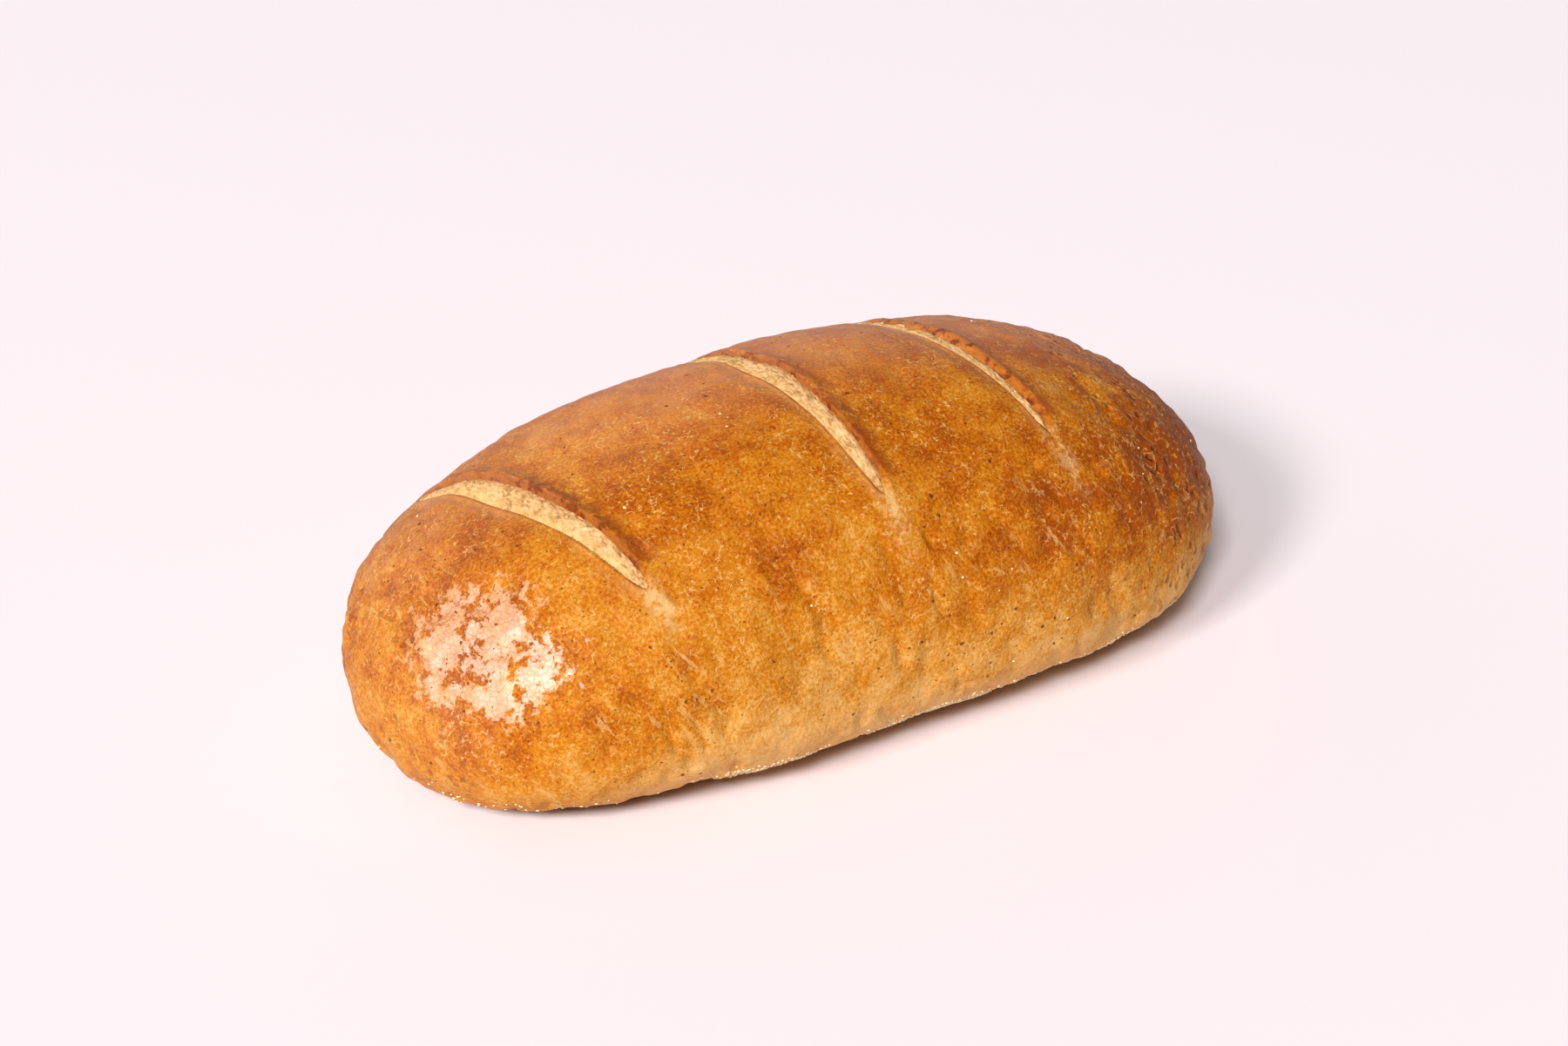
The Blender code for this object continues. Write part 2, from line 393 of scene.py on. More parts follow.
def crust_relief():
    """Geometry nodes that raise and sink the crust: lumps, wrinkles, dents, pebbles and torn lips."""
    sizes = ("Lump height", "Wrinkle height", "Dent depth", "Pebble height", "Lip overhang", "Near lip",
             "Flat depth")
    tree = new_group("crust_relief", "GeometryNodeTree",
                     [("Geometry", "Geometry")] + [(name, "Float") for name in sizes],
                     [("Geometry", "Geometry")])
    n = Nodes(tree)
    inputs = n.add("NodeGroupInput").outputs
    place = n.add("GeometryNodeInputPosition").outputs[0]
    normal = n.add("GeometryNodeInputNormal").outputs[0]
    x, y, z = n.add("ShaderNodeSeparateXYZ", i0=place).outputs
    gap, past, ahead = n.stored("gap"), n.stored("past"), n.stored("ahead")

    above_base = n.step(z, 0.0005, 0.010)
    off_slash = n.step(gap, -0.0005, -0.0045)
    right_end = n.step(x, 0.055, 0.115)
    left_end = n.step(x, -0.100, -0.135)
    low_side = n.step(z, 0.085, 0.055)

    lumps = n.product(n.noise(place, 0.021), inputs["Lump height"])

    along_dough = n.stretched(n.leaning(x, y, z, 0.35), (0.0066, 0.0125, 0.0125))
    wrinkles = n.noise(along_dough, 1.0, 1.0, 0.50, 0.2)
    hollows = n.step(n.maths("MULTIPLY", wrinkles, -1.0), 0.04, 0.20)
    wrinkles = n.maths("SUBTRACT", n.product(wrinkles, 0.6), n.product(hollows, 0.45))
    wrinkles = n.product(wrinkles, inputs["Wrinkle height"], n.maths("MULTIPLY_ADD", low_side, 0.70, 0.30),
                         n.step(n.noise(place, 0.024, 1.0), -0.14, 0.12, 0.35, 1.0))

    pits = n.step(n.cells(place, 0.0066, "SMOOTH_F1", Smoothness=0.5), 0.50, 0.05)
    spread = n.step(n.noise(place, 0.014, 1.0), -0.06, 0.10)
    where = n.total(n.product(right_end, 1.1), n.product(left_end, 0.40), 0.14)
    pits = n.product(pits, spread, where, inputs["Dent depth"])

    rough_ends = n.total(n.product(right_end, 0.75), n.product(left_end, 0.60), 0.25)
    pebbles = n.product(n.noise(place, 0.0052, 0.0), rough_ends, inputs["Pebble height"])

    flat = n.product(n.step(n.distance(place, FLAT_PLACE), 0.030, 0.0), inputs["Flat depth"])

    height = n.maths("SUBTRACT", n.total(lumps, wrinkles, pebbles), n.total(pits, flat))
    height = n.product(height, above_base, off_slash)
    rolled = n.product(n.step(gap, -0.0022, -0.0006), n.step(gap, 0.0010, -0.0002),
                       n.step(past, -0.002, -0.004))
    height = n.total(height, n.product(rolled, inputs["Near lip"]))

    rag = n.step(n.noise(place, 0.0030, 2.0, 0.6), -0.16, 0.18)
    lip = n.product(n.step(past, -0.0008, 0.0004), n.step(past, 0.0034, 0.0010),
                    n.step(gap, -0.0045, -0.0030), rag, n.step(ahead, -0.006, -0.016),
                    n.step(ahead, -0.090, -0.080), inputs["Lip overhang"])
    sideways = n.add("ShaderNodeCombineXYZ", i0=n.product(lip, -1.0), i1=0.0, i2=n.product(lip, 0.45))

    up = n.add("ShaderNodeVectorMath", {"operation": "SCALE"}, i0=normal, Scale=height)
    offset = n.add("ShaderNodeVectorMath", {"operation": "ADD"}, i0=up.outputs[0], i1=sideways.outputs[0])
    store = n.add("GeometryNodeStoreNamedAttribute", {"data_type": "FLOAT", "domain": "POINT"},
                  Geometry=inputs["Geometry"], Name="relief", Value=height)
    moved = n.add("GeometryNodeSetPosition", None, Geometry=store.outputs[0], Offset=offset.outputs[0])
    n.add("NodeGroupOutput", None, Geometry=moved.outputs[0])
    return tree


def model_crust():
    """The whole outside of the loaf, with the slashes sunk into it."""
    crust = copy_of_node("loaf", "crust")
    smooth = crust.modifiers.new("smooth", "SUBSURF")
    smooth.levels = 2
    smooth.render_levels = 2
    apply_modifiers(crust)
    mark_slashes(crust)
    shape_with(crust, crust_relief(), **CRUST_SIZES)
    points = mesh_points(crust)
    points[:, 2] = np.maximum(points[:, 2], 0.0)
    set_mesh_points(crust, points)
    crust.data.shade_smooth()
    return crust


# Crumb in the slashes

def crumb_relief():
    """Geometry nodes for torn crumb: strands along the slash, lumps and small pores."""
    tree = new_group("crumb_relief", "GeometryNodeTree",
                     [("Geometry", "Geometry"), ("Lump height", "Float"), ("Pore depth", "Float")],
                     [("Geometry", "Geometry")])
    n = Nodes(tree)
    inputs = n.add("NodeGroupInput").outputs
    place = n.add("GeometryNodeInputPosition").outputs[0]
    normal = n.add("GeometryNodeInputNormal").outputs[0]
    strands = n.noise(n.stretched(place, (0.0013, 0.0042, 0.0026)), 1.0, 3.0, 0.6)
    lumps = n.noise(place, 0.0026, 2.0)
    pores = n.product(n.step(n.cells(place, 0.0012, "F1"), 0.42, 0.12),
                      n.step(n.noise(place, 0.0030, 2.0), -0.02, 0.10))
    fine = n.noise(place, 0.0007, 2.0, 0.6)
    height = n.product(n.total(lumps, strands, n.product(fine, 0.45)), inputs["Lump height"])
    height = n.maths("SUBTRACT", height, n.product(pores, inputs["Pore depth"]))
    height = n.product(height, n.step(n.maths("ABSOLUTE", n.stored("side")), 1.0, 0.72, 0.1, 1.0))
    offset = n.add("ShaderNodeVectorMath", {"operation": "SCALE"}, i0=normal, Scale=height)
    store = n.add("GeometryNodeStoreNamedAttribute", {"data_type": "FLOAT", "domain": "POINT"},
                  Geometry=inputs["Geometry"], Name="pore", Value=pores)
    moved = n.add("GeometryNodeSetPosition", None, Geometry=store.outputs[0], Offset=offset.outputs[0])
    n.add("NodeGroupOutput", None, Geometry=moved.outputs[0])
    return tree


def height_over(tree, x, y):
    """Height of the crust's surface above a place in plan."""
    hit = tree.ray_cast(Vector((x, y, 2.0 * LOAF_HEIGHT)), Vector((0.0, 0.0, -1.0)))[0]
    return hit.z


def model_bed(slash, crust_tree, relief):
    """The strip of torn crumb that fills one slash and dips under the crust along both sides."""
    across, along = BED_POINTS
    deselect_all()
    bpy.ops.mesh.primitive_grid_add(x_subdivisions=across - 1, y_subdivisions=along - 1, size=2.0)
    bed = bpy.context.active_object
    bed.name = "crumb_" + slash["name"]
    points = mesh_points(bed)
    side, reach = points[:, 0].copy(), 0.5 - 0.5 * points[:, 1]
    slope = slash_slope(slash)
    step_x, step_y = 1.0 / math.hypot(1.0, slope), -slope / math.hypot(1.0, slope)
    (x_back, y_back), (x_front, y_front) = slash["back"], slash["front"]
    opening = slash_opening(reach)
    edge = slash["half_width"] * opening
    aside = side * (edge + BED_MARGIN * np.minimum(1.0, 2.5 * opening))
    middle_x = x_back + (x_front - x_back) * reach - slash["shift"] * step_x
    middle_y = y_back + (y_front - y_back) * reach - slash["shift"] * step_y
    # Each row lies level with the crust, which is measured at two places inside the slash
    rows = {}
    for k in range(len(points)):
        key = round(float(reach[k]), 5)
        if key not in rows:
            inner = max(0.0004, 0.55 * float(edge[k]))
            heights = [height_over(crust_tree, middle_x[k] + a * step_x, middle_y[k] + a * step_y)
                       for a in (-inner, inner)]
            rows[key] = (inner, *heights)
        inner, left, right = rows[key]
        points[k] = (middle_x[k] + aside[k] * step_x, middle_y[k] + aside[k] * step_y,
                     left + (right - left) * (aside[k] + inner) / (2.0 * inner))
    set_mesh_points(bed, points)
    normals = mesh_normals(bed)
    normals *= np.sign(normals[:, 2:3])
    # A bulge along the middle, lower at both sides, a little more on the right, and at both tips
    lift = BED_BULGE * (1.0 - np.abs(side) ** 2.5)
    lift -= BED_EDGE_DROP * smooth_step(np.abs(side), 0.80, 1.0)
    lift -= 0.0007 * smooth_step(side, 0.20, 0.85)
    lift -= 0.0008 * (1.0 - smooth_step(reach, 0.0, 0.03)) + 0.0011 * smooth_step(reach, 0.94, 1.0)
    points += normals * lift[:, None]
    # The sides stay under the crust
    for k in np.flatnonzero(np.abs(side) > BED_TUCK_START):
        tuck = BED_TUCK_DEPTH * (abs(side[k]) - BED_TUCK_START) / (1.0 - BED_TUCK_START)
        under = height_over(crust_tree, points[k, 0], points[k, 1]) - tuck
        points[k, 2] = min(points[k, 2], under + BED_CLEARANCE)
    set_mesh_points(bed, points)
    activate(bed)
    bpy.ops.object.mode_set(mode="EDIT")
    bpy.ops.mesh.select_all(action="SELECT")
    bpy.ops.mesh.normals_make_consistent(inside=False)
    bpy.ops.object.mode_set(mode="OBJECT")
    if mesh_normals(bed)[:, 2].mean() < 0.0:
        bed.data.flip_normals()
    store_on_points(bed, "side", side)
    shape_with(bed, relief, **CRUMB_SIZES)
    bed.data.shade_smooth()
    return bed


def sink_under_beds(crust):
    """Lower the crust inside the slashes, so that only the crumb shows there."""
    gap = np.empty(len(crust.data.vertices))
    crust.data.attributes["gap"].data.foreach_get("value", gap)
    points = mesh_points(crust)
    points[:, 2] -= CRUST_SINK * smooth_step(gap, 0.0001, 0.0014)
    set_mesh_points(crust, points)


# Semolina on the base edge

def semolina_nodes():
    """Geometry nodes that scatter squashed grains over the surface, thickest along the base edge."""
    tree = new_group("semolina_scatter", "GeometryNodeTree",
                     [("Geometry", "Geometry"), ("Grain size", "Float"), ("Edge density", "Float"),
                      ("Crust density", "Float")],
                     [("Geometry", "Geometry")])
    n = Nodes(tree)
    inputs = n.add("NodeGroupInput").outputs
    place = n.add("GeometryNodeInputPosition").outputs[0]
    x, y, z = n.add("ShaderNodeSeparateXYZ", i0=place).outputs
    low = n.product(n.step(z, 0.0165, 0.0120), n.step(z, 0.0060, 0.0090, 0.10, 1.0))
    front = n.product(n.step(y, 0.0, -0.035, 0.30, 1.0), n.step(x, -0.085, -0.045, 0.15, 1.0))
    patchy = n.step(n.noise(place, 0.018, 2.0), -0.12, 0.14)
    density = n.product(low, front, patchy, inputs["Edge density"])
    density = n.product(n.total(density, inputs["Crust density"]), n.step(z, 0.0012, 0.0022))
    points = n.add("GeometryNodeDistributePointsOnFaces", {"distribute_method": "RANDOM"},
                   Mesh=inputs["Geometry"], Density=density, Seed=5)
    grain = n.add("GeometryNodeMeshIcoSphere", None, Radius=1.0, Subdivisions=1)
    size = n.add("FunctionNodeRandomValue", {"data_type": "FLOAT"})
    for socket, value in ((size.inputs[2], 0.45), (size.inputs[3], 1.0), (size.inputs[8], 11)):
        socket.default_value = value
    squash = n.add("ShaderNodeCombineXYZ", i0=1.0, i1=0.75, i2=0.6)
    scale = n.product(size.outputs[1], inputs["Grain size"])
    scale = n.add("ShaderNodeVectorMath", {"operation": "SCALE"}, i0=squash.outputs[0], Scale=scale)
    copies = n.add("GeometryNodeInstanceOnPoints", None, Points=points.outputs["Points"],
                   Instance=grain.outputs["Mesh"], Rotation=points.outputs["Rotation"], Scale=scale.outputs[0])
    joined = n.add("GeometryNodeRealizeInstances", None, Geometry=copies.outputs[0])
    n.add("NodeGroupOutput", None, Geometry=joined.outputs[0])
    return tree


def scatter_semolina(crust):
    grains = bpy.data.objects.new("semolina", crust.data.copy())
    bpy.context.scene.collection.objects.link(grains)
    shape_with(grains, semolina_nodes(), **SEMOLINA_SIZES)
    grains.data.shade_smooth()
    return grains


# Materials

def bran_group():
    """Specks of bran: a mask of small round spots, sparse and uneven in size."""
    tree = new_group("bran_specks", "ShaderNodeTree",
                     [("Vector", "Vector"), ("Spacing", "Float"), ("Share", "Float")], [("Mask", "Float")])
    n = Nodes(tree)
    inputs = n.add("NodeGroupInput").outputs
    scale = n.maths("DIVIDE", 1.0, inputs["Spacing"])
    cells = n.add("ShaderNodeTexVoronoi", {"feature": "F1"}, Vector=inputs["Vector"], Scale=scale)
    lots = n.add("ShaderNodeSeparateColor", None, i0=cells.outputs["Color"])
    radius = n.maths("MULTIPLY_ADD", lots.outputs[1], 0.085, 0.045)
    spot = n.step(n.maths("SUBTRACT", cells.outputs["Distance"], radius), 0.025, 0.0)
    chosen = n.maths("LESS_THAN", lots.outputs[0], inputs["Share"])
    n.add("NodeGroupOutput", None, Mask=n.product(spot, chosen))
    return tree


def grain_group():
    """Fine grain of baked dough: a value about zero, for colour and for bump."""
    tree = new_group("dough_grain", "ShaderNodeTree",
                     [("Vector", "Vector"), ("Size", "Float")], [("Value", "Float")])
    n = Nodes(tree)
    inputs = n.add("NodeGroupInput").outputs
    scale = n.maths("DIVIDE", 1.0, inputs["Size"])
    noise = n.add("ShaderNodeTexNoise", None, Vector=inputs["Vector"], Scale=scale, Detail=3.0,
                  Roughness=0.65)
    n.add("NodeGroupOutput", None, Value=n.maths("SUBTRACT", noise.outputs[0], 0.5))
    return tree


def place_group(n, group, output, **inputs):
    node = n.add("ShaderNodeGroup", {"node_tree": group})
    for name, value in inputs.items():
        n.feed(node.inputs[name], value)
    return node.outputs[output]


def new_material(name):
    material = bpy.data.materials.new(name)
    material.use_nodes = True
    return material, Nodes(material.node_tree), material.node_tree.nodes["Principled BSDF"]


def set_finish(shader, **finish):
    """Set plain numbers of a shader, each named as its socket with _ for a space."""
    for name, value in finish.items():
        shader.inputs[name.replace("_", " ")].default_value = value


def add_bump(n, shader, height):
    bump = n.add("ShaderNodeBump", None, Strength=1.0, Distance=1.0, Height=height)
    n.feed(shader.inputs["Normal"], bump.outputs[0])


class CrustPlace:
    """Where a point of the crust lies, as sockets for its shader."""

    def __init__(self, n):
        self.point = n.add("ShaderNodeTexCoord").outputs["Object"]
        self.x, self.y, self.z = n.add("ShaderNodeSeparateXYZ", i0=self.point).outputs
        self.gap, self.past, self.ahead = n.painted("gap"), n.painted("past"), n.painted("ahead")
        self.relief = n.painted("relief")
        wobble = n.add("ShaderNodeTexNoise", None, Vector=self.point, Scale=1.0 / 0.0020, Detail=2.0)
        self.bent = n.add("ShaderNodeVectorMath", {"operation": "MULTIPLY_ADD"}, i0=wobble.outputs["Color"],
                          i1=(0.0013, 0.0013, 0.0013), i2=self.point).outputs[0]


def baked_colour(n, at, mottle):
    """Colour by how far the crust is baked: pale low down, brown on top, darkest at the ends; painted shade in
    the relief's hollows, painted sheen on top.
    """
    left_end = n.product(n.step(at.x, -0.045, -0.115, 0.0, 0.40), n.step(at.z, 0.085, 0.030))
    right_end = n.product(n.step(at.x, -0.010, 0.105, 0.0, 0.56), n.step(at.z, 0.088, 0.046),
                          n.step(at.z, 0.018, 0.056))
    middle = n.product(n.step(at.z, 0.010, 0.040), n.step(at.x, -0.040, 0.050, 0.03, 0.09))
    blotches = n.total(n.product(n.noise(at.point, 0.030), 0.65),
                       n.product(n.noise(at.point, 0.0100, 3.0, 0.6), 1.05))
    blotches = n.product(blotches, n.step(at.x, 0.03, 0.10, 1.0, 1.45), n.step(at.z, 0.005, 0.035, 0.75, 1.0))
    grainy = n.product(mottle, n.step(at.z, 0.010, 0.045, 1.05, 1.50))
    # Painted shade and light: the hollows of the relief are painted darker and its raised parts lighter
    hollows = n.product(at.relief, -110.0)
    bake = n.total(n.step(at.z, -0.006, 0.088, -0.04, 0.68), left_end, right_end, middle, blotches,
                   grainy, hollows)
    colour = n.ramp(bake, CRUST_BAKES)

    # Painted sheen: the top towards the back is blended lighter and pinker, partly the crust's colour and
    # partly a sheen laid into it
    top = n.product(n.step(at.y, -0.025, 0.020), n.step(at.z, 0.040, 0.070),
                    n.step(at.x, -0.090, -0.040, 0.3, 1.0))
    colour = n.blend(n.product(top, 0.36), colour, TOP_TINT_AND_SHEEN)
    base = n.blend(n.step(n.noise(at.point, 0.007, 4.0, 0.6), -0.14, 0.14), BASE_DARK, BASE_LIGHT)
    return n.blend(n.step(at.z, 0.0075, 0.0030), colour, base)


def glaze_cracks(n, at):
    """Short pale cracks in the glaze, flecks at the right end, and the unbroken veins behind both."""
    veins = n.step(n.cells(at.bent, 0.0017, "DISTANCE_TO_EDGE"), 0.13, 0.01)
    short = n.product(veins, n.step(n.noise(at.point, 0.0016, 2.0), 0.03, 0.14))
    flecks = n.product(n.step(n.cells(at.bent, 0.0046, "DISTANCE_TO_EDGE"), 0.060, 0.010),
                       n.step(at.x, 0.040, 0.085, 0.15, 0.90),
                       n.step(n.noise(at.point, 0.0045, 3.0, 0.65), 0.02, 0.12))
    return n.maths("MAXIMUM", short, flecks), veins


def pale_streaks(n, at):
    """Leaning streaks on the side, in patches, kept off the base."""
    leaning = n.stretched(n.leaning(at.x, at.y, at.z, 0.50), (0.0024, 0.0080, 0.0062))
    return n.product(n.step(n.noise(leaning, 1.0, 3.0, 0.6, 0.3), 0.06, 0.16), n.step(at.z, 0.082, 0.060),
                     n.step(at.z, 0.004, 0.010), n.step(n.noise(at.point, 0.015, 2.0), -0.06, 0.10))


def thick_wash_and_highlight(n, at, veins):
    """Patches where the egg wash dried thick, round the flat place, and the noise that breaks them. They set
    the coat and also where a painted highlight lightens the colour.
    """
    crisp = n.total(n.noise(at.point, 0.012, 7.0, 0.66), n.product(n.noise(at.point, 0.0030, 4.0, 0.6), 0.35))
    around = n.distance(at.point, FLAT_PLACE)
    thick = n.total(crisp, n.step(around, 0.038, 0.012, -0.22, 0.08), n.step(at.z, 0.038, 0.050, -0.07, 0.0))
    thick = n.product(n.step(thick, -0.03, 0.05), n.step(around, 0.039, 0.028), n.without(veins, 0.45))
    return thick, crisp


def rim_pits(n, at):
    """Small pits round the rims of both ends."""
    cells = n.cells(n.stretched(at.bent, (1.0, 1.0, 1.5)), 0.0034, "SMOOTH_F1", Smoothness=0.3)
    rims = n.maths("MAXIMUM", n.step(at.x, 0.072, 0.100), n.step(at.x, -0.116, -0.128, 0.0, 0.60))
    return n.product(n.step(cells, 0.42, 0.10), n.step(n.noise(at.point, 0.009, 2.0), -0.10, 0.08), rims)


def colour_tips(n, at, colour):
    """Stretched skin past the front tips of the slashes."""
    aside = n.step(n.maths("ABSOLUTE", n.maths("ADD", at.past, 0.0004)), 0.0045, 0.0008)
    stretch = n.product(n.step(at.ahead, -0.004, 0.003), n.step(at.ahead, 0.019, 0.004),
                        n.step(at.gap, -0.0240, -0.0040), aside,
                        n.step(n.noise(at.point, 0.0030, 3.0, 0.65), -0.12, 0.10))
    return n.blend(n.product(stretch, 0.70), colour, STRETCHED_SKIN)


def colour_near_sides(n, at, colour):
    """Near side of a slash: a soft lighter roll of skin with a thin dark line where it tore, partly a
    caramelised edge and partly painted shade.
    """
    roll = n.product(n.step(at.gap, -0.0055, -0.0012), n.step(at.past, 0.0, -0.003),
                     n.step(n.noise(at.point, 0.012, 2.0), -0.16, 0.10, 0.2, 1.0))
    colour = n.blend(n.product(roll, 0.35), colour, ROLLED_SKIN)
    # Thin dark line along the tear: partly caramelised edge, partly painted shade
    line = n.product(n.step(at.gap, -0.0011, -0.0003), n.step(at.past, 0.0, -0.002),
                     n.step(n.noise(at.point, 0.006, 2.0), -0.14, 0.06))
    return n.blend(n.product(line, 0.70), colour, TEAR_LINE_AND_SHADE)


def colour_lips(n, at, colour):
    """Torn lip on the far side, caramelised, wide only at the right slash, and the floor of the slash."""
    ragged = n.product(n.noise(at.point, 0.0020, 3.0, 0.7), 0.0042)
    torn = n.maths("ADD", at.past, ragged)
    reach = n.total(n.step(at.x, 0.030, 0.040, 0.0008, 0.0034),
                    n.product(n.noise(at.point, 0.007, 2.0), 0.0042))
    reach = n.product(reach, n.step(at.ahead, -0.004, -0.034, 0.30, 1.0))
    beside = n.product(n.step(torn, -0.0024, -0.0014), n.step(at.gap, -0.0095, -0.0060),
                       n.step(at.ahead, -0.0015, -0.0060))
    scorched = n.product(beside, n.step(torn, 0.0080, 0.0010), n.step(at.ahead, -0.075, -0.035, 0.35, 1.0),
                         n.step(n.noise(at.point, 0.0058, 3.0, 0.65), -0.12, 0.05))
    colour = n.blend(n.product(scorched, 0.85), colour, SCORCHED)
    lip = n.product(beside, n.step(n.maths("SUBTRACT", torn, reach), 0.0010, -0.0006))
    lip_colour = n.blend(n.step(at.x, 0.020, 0.040), LIP_LEFT, LIP_RIGHT)
    burnt = n.step(n.noise(at.point, 0.0040, 3.0, 0.6), -0.02, 0.10)
    colour = n.blend(n.product(lip, 0.90), colour, n.blend(burnt, lip_colour, LIP_BURNT))
    under_lip = n.product(n.step(at.past, -0.0040, -0.0030), 0.0012)
    depth = n.maths("SUBTRACT", n.maths("ADD", at.gap, n.product(ragged, 0.3)), under_lip)
    bed = n.step(depth, -0.0004, 0.0002)
    return n.blend(bed, colour, UNDER_CRUMB), bed


def crust_material(bran, grain):
    """Baked skin under egg wash, which is thick at the left end and a thin film on top and at the rims."""
    material, n, shader = new_material("glazed_crust")
    at = CrustPlace(n)
    mottle = place_group(n, grain, "Value", Vector=at.point, Size=0.0009)
    colour = baked_colour(n, at, mottle)
    cracks, veins = glaze_cracks(n, at)
    many = n.step(n.noise(at.point, 0.013, 2.0), -0.12, 0.10, 0.45, 1.0)
    colour = n.blend(n.product(cracks, many, n.step(at.x, 0.03, 0.10, 0.62, 0.72)), colour, PALE_CRACK)
    colour = n.blend(n.product(pale_streaks(n, at), 0.42), colour, PALE_STREAK)
    thick, crisp = thick_wash_and_highlight(n, at, veins)
    # Painted highlight: the thick wash patches are blended towards pale peach, partly the dried glaze and
    # partly a highlight laid into the colour
    colour = n.blend(n.product(thick, 0.40), colour, DRIED_WASH_AND_HIGHLIGHT)
    specks = n.total(place_group(n, bran, "Mask", Vector=at.bent, Spacing=0.0024, Share=0.80),
                     place_group(n, bran, "Mask", Vector=at.bent, Spacing=0.0046, Share=0.35))
    colour = n.blend(n.product(specks, 0.80), colour, BRAN)
    pits = rim_pits(n, at)
    # Painted shade: the small pits round the rims are painted dark
    colour = n.blend(n.product(pits, 0.65), colour, RIM_PIT_SHADE)
    colour = colour_tips(n, at, colour)
    colour = colour_near_sides(n, at, colour)
    colour, bed = colour_lips(n, at, colour)
    n.feed(shader.inputs["Base Color"], colour)

    film = n.product(n.step(at.y, -0.030, 0.020), n.step(at.z, 0.030, 0.060),
                     n.step(crisp, -0.16, 0.12, 0.55, 1.0))
    rims = n.maths("MAXIMUM", n.step(at.x, -0.112, -0.134), n.step(at.x, 0.104, 0.130))
    film = n.maths("MAXIMUM", n.product(film, 0.31), n.product(rims, 0.14))
    wash = n.product(n.maths("MAXIMUM", thick, film), n.without(cracks, 0.6), n.without(specks, 0.8),
                     n.without(bed), n.without(pits, 0.7))
    n.feed(shader.inputs["Coat Weight"], wash)
    set_finish(shader, Coat_Roughness=0.56, Coat_IOR=2.6, Roughness=0.60, Specular_IOR_Level=0.11)

    skin = n.product(n.noise(at.point, 0.0050, 5.0, 0.60), n.step(at.z, 0.090, 0.050, 0.00055, 0.00085))
    add_bump(n, shader, n.total(skin, n.product(mottle, 0.00005), n.product(cracks, 0.00005),
                                n.product(pits, -0.0008)))
    return material


def crumb_material(bran, grain):
    material, n, shader = new_material("torn_crumb")
    place = n.add("ShaderNodeTexCoord").outputs["Object"]
    side = n.painted("side")
    tone = place_group(n, grain, "Value", Vector=n.stretched(place, (1.0, 2.2, 1.5)), Size=0.0009)
    tone = n.total(n.product(tone, 2.3), n.product(n.noise(place, 0.004, 2.0), 1.5),
                   n.step(side, 0.2, 0.9, 0.55, 0.42))
    colour = n.ramp(tone, CRUMB_TONES)
    tan = n.step(n.noise(place, 0.0026, 4.0, 0.65), -0.01, 0.12)
    colour = n.blend(n.product(tan, 0.45), colour, CRUMB_TAN)
    skin = n.step(n.maths("ADD", side, n.product(n.noise(place, 0.007, 2.0), 1.4)), -0.10, -0.75)
    colour = n.blend(n.product(skin, 0.35), colour, CRUMB_SKIN)
    toasted = n.product(n.step(side, 0.45, 1.0, 0.0, 0.75), n.step(n.noise(place, 0.004, 2.0), -0.15, 0.12))
    colour = n.blend(toasted, colour, CRUMB_TOASTED)
    # Painted shadow: dark gaps on the far side of the crumb, where the lip overhangs it
    lip_gap_shadow = n.product(n.step(side, 0.55, 0.80), n.step(n.noise(place, 0.0055, 3.0, 0.6), 0.04, 0.12))
    colour = n.blend(n.product(lip_gap_shadow, 0.70), colour, CRUMB_LIP_SHADOW)
    # Painted shade: the crumb's pores are painted darker
    colour = n.blend(n.product(n.painted("pore"), 0.55), colour, CRUMB_PORE_SHADE)
    specks = place_group(n, bran, "Mask", Vector=place, Spacing=0.0018, Share=0.35)
    colour = n.blend(n.product(specks, 0.45), colour, CRUMB_SPECK)
    n.feed(shader.inputs["Base Color"], colour)
    set_finish(shader, Roughness=0.85, Specular_IOR_Level=0.25)
    fine = place_group(n, grain, "Value", Vector=place, Size=0.0005)
    add_bump(n, shader, n.product(fine, 0.00010))
    return material


def semolina_material(grain):
    material, n, shader = new_material("semolina_grain")
    place = n.add("ShaderNodeTexCoord").outputs["Object"]
    tone = place_group(n, grain, "Value", Vector=place, Size=0.0012)
    n.feed(shader.inputs["Base Color"], n.blend(n.total(tone, 0.5), SEMOLINA_DARK, SEMOLINA_PALE))
    set_finish(shader, Roughness=0.45)
    return material


def floor_material():
    material, _, shader = new_material("pale_floor")
    set_finish(shader, Base_Color=(*FLOOR_COLOUR, 1.0), Roughness=0.85, Specular_IOR_Level=0.1)
    return material


# Stage

def lay_floor():
    deselect_all()
    bpy.ops.mesh.primitive_plane_add(size=FLOOR_SIZE, location=(0.0, 0.0, 0.0))
    floor = bpy.context.active_object
    floor.name = "floor"
    floor.data.materials.append(floor_material())


def direction(turn, rise):
    """Unit vector from the loaf towards a place, by its turn from -Y and its rise, in degrees."""
    turn, rise = math.radians(turn), math.radians(rise)
    return Vector((math.sin(turn) * math.cos(rise), -math.cos(turn) * math.cos(rise), math.sin(rise)))


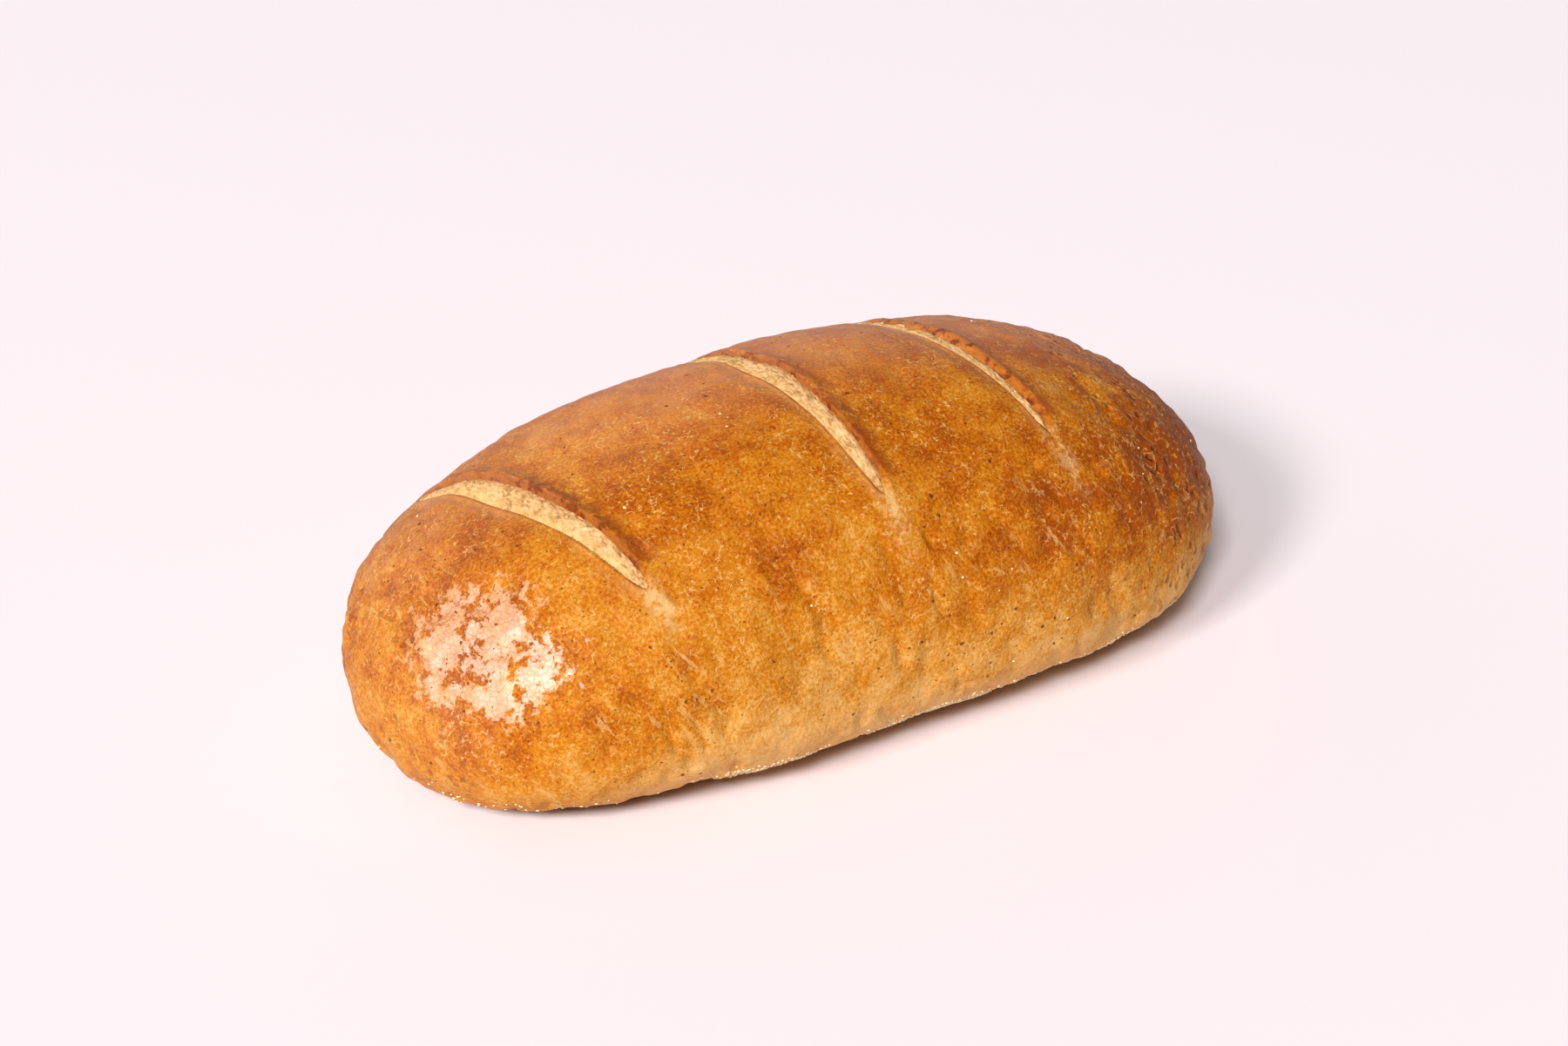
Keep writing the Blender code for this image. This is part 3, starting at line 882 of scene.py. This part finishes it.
def soft_light(name, turn, rise, power):
    lamp = bpy.data.lights.new(name, "AREA")
    lamp.shape = "RECTANGLE"
    lamp.size, lamp.size_y = SOFTBOX_SIZE
    lamp.energy = power
    light = bpy.data.objects.new(name, lamp)
    bpy.context.scene.collection.objects.link(light)
    away = direction(turn, rise)
    light.location = Vector(SOFTBOX_AIM) + away * SOFTBOX_DISTANCE
    light.rotation_euler = away.to_track_quat("Z", "Y").to_euler()


def light_stage():
    """Two small softboxes in front on the left, and a dim room with a bright backdrop behind."""
    world = bpy.data.worlds.new("studio")
    bpy.context.scene.world = world
    world.use_nodes = True
    n = Nodes(world.node_tree)
    sky = n.add("ShaderNodeTexCoord").outputs["Generated"]
    _, back, up = n.add("ShaderNodeSeparateXYZ", i0=sky).outputs
    overhead = n.step(up, 0.65, 1.0, 0.0, 0.25)
    backdrop = n.product(n.step(back, -0.2, 0.6), n.step(up, 0.64, 0.20, 0.10, 0.90))
    background = world.node_tree.nodes["Background"]
    background.inputs["Color"].default_value = (*ROOM_COLOUR, 1.0)
    n.feed(background.inputs["Strength"], n.total(ROOM_LIGHT, overhead, backdrop))
    for softbox in SOFTBOXES:
        soft_light(**softbox)
    bpy.context.scene.view_settings.view_transform = "Standard"


def set_camera():
    lens = bpy.data.cameras.new("camera")
    lens.lens = CAMERA_LENS
    lens.sensor_width = CAMERA_SENSOR
    camera = bpy.data.objects.new("camera", lens)
    bpy.context.scene.collection.objects.link(camera)
    away = direction(CAMERA_TURN, CAMERA_RISE)
    camera.location = Vector(CAMERA_AIM) + away * CAMERA_DISTANCE
    camera.rotation_euler = away.to_track_quat("Z", "Y").to_euler()
    bpy.context.scene.camera = camera


def dress(piece, material):
    piece.data.materials.clear()
    piece.data.materials.append(material)
    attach(piece, "root")
    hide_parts("loaf")


set_camera()
lay_floor()
light_stage()

bran, grain = bran_group(), grain_group()
crumb = crumb_material(bran, grain)
crust = model_crust()
crust_tree = BVHTree.FromObject(crust, bpy.context.evaluated_depsgraph_get())
torn = crumb_relief()
for slash in SLASHES:
    dress(model_bed(slash, crust_tree, torn), crumb)
sink_under_beds(crust)
dress(scatter_semolina(crust), semolina_material(grain))
dress(crust, crust_material(bran, grain))
